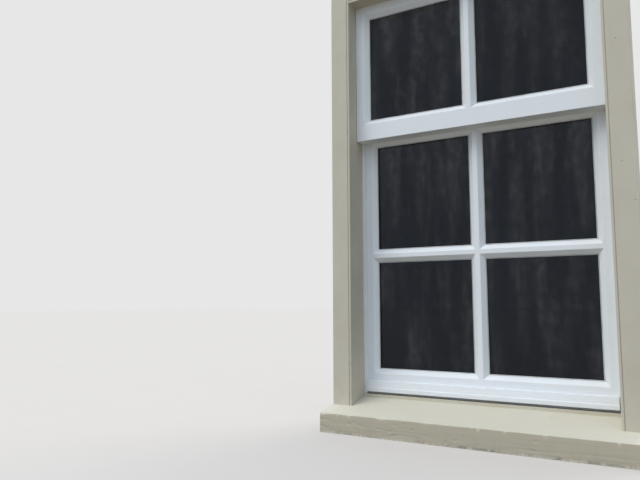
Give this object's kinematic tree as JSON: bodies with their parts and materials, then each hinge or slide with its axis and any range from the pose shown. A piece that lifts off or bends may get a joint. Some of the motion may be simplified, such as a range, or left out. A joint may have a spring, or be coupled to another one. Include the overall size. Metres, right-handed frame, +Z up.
{
  "type": "sash window",
  "caption": "Timber sash window with a sloped sill, a fixed upper sash and a balanced lower sash that slides up behind it.",
  "frame": {"origin": "on the underside of the sill, at the middle of the window's width, below the outer face of the jambs", "axes": "+X to the right seen from outside, +Y from outside into the room, +Z up"},
  "size_m": [1.044, 0.279, 1.6691],
  "materials": {
    "frame_paint": "worn eggshell paint on timber",
    "sash_paint": "satin white paint on timber",
    "glass": "clear float glass",
    "spacer": "mill finish",
    "pile": "brushed pile",
    "rubber": "matt",
    "balance_tube": "smooth white sleeve",
    "steel": "zinc plated",
    "plastic": "moulded nylon",
    "brass": "polished, lightly dulled"
  },
  "bodies": {
    "frame": {"left_jamb": "frame_paint", "right_jamb": "frame_paint", "head": "frame_paint", "sill": "frame_paint", "left_parting_bead": "sash_paint", "right_parting_bead": "sash_paint", "head_parting_bead": "sash_paint", "left_staff_bead": "sash_paint", "right_staff_bead": "sash_paint", "head_staff_bead": "sash_paint", "sill_staff_bead": "sash_paint", "track_seals": "pile", "upper_left_stile": "sash_paint", "upper_right_stile": "sash_paint", "upper_top_rail": "sash_paint", "upper_meeting_rail": "sash_paint", "upper_upright_bar": "sash_paint", "upper_left_glass": "glass", "upper_left_spacer": "spacer", "upper_left_beads": "sash_paint", "upper_right_glass": "glass", "upper_right_spacer": "spacer", "upper_right_beads": "sash_paint", "left_balance_tube": "balance_tube", "right_balance_tube": "balance_tube", "left_keep": "brass", "right_keep": "brass"},
    "lower_sash": {"lower_left_stile": "sash_paint", "lower_right_stile": "sash_paint", "lower_bottom_rail": "sash_paint", "lower_meeting_rail": "sash_paint", "lower_upright_bar": "sash_paint", "lower_left_cross_bar": "sash_paint", "lower_right_cross_bar": "sash_paint", "weather_bar": "sash_paint", "bottom_rail_seal": "rubber", "lower_left_glass": "glass", "lower_left_spacer": "spacer", "lower_left_beads": "sash_paint", "lower_right_glass": "glass", "lower_right_spacer": "spacer", "lower_right_beads": "sash_paint", "middle_left_glass": "glass", "middle_left_spacer": "spacer", "middle_left_beads": "sash_paint", "middle_right_glass": "glass", "middle_right_spacer": "spacer", "middle_right_beads": "sash_paint", "left_balance_rod": "steel", "left_balance_foot": "plastic", "left_fastener_base": "brass", "left_sash_lift": "brass", "right_balance_rod": "steel", "right_balance_foot": "plastic", "right_fastener_base": "brass", "right_sash_lift": "brass"},
    "left_fastener_lever": {"left_lever": "brass"},
    "right_fastener_lever": {"right_lever": "brass"}
  },
  "joints": [
    {"name": "lower_sash_slide", "type": "slide", "parent": "frame", "child": "lower_sash", "axis": [0, 0, 1], "range_m": [0, 0.42]},
    {"name": "left_fastener_turn", "type": "hinge", "parent": "lower_sash", "child": "left_fastener_lever", "pos_m": [-0.204, 0.14, 1.11339], "axis": [0, 0, 1], "range_deg": [-90, 0]},
    {"name": "right_fastener_turn", "type": "hinge", "parent": "lower_sash", "child": "right_fastener_lever", "pos_m": [0.204, 0.14, 1.11339], "axis": [0, 0, 1], "range_deg": [0, 90]}
  ]
}
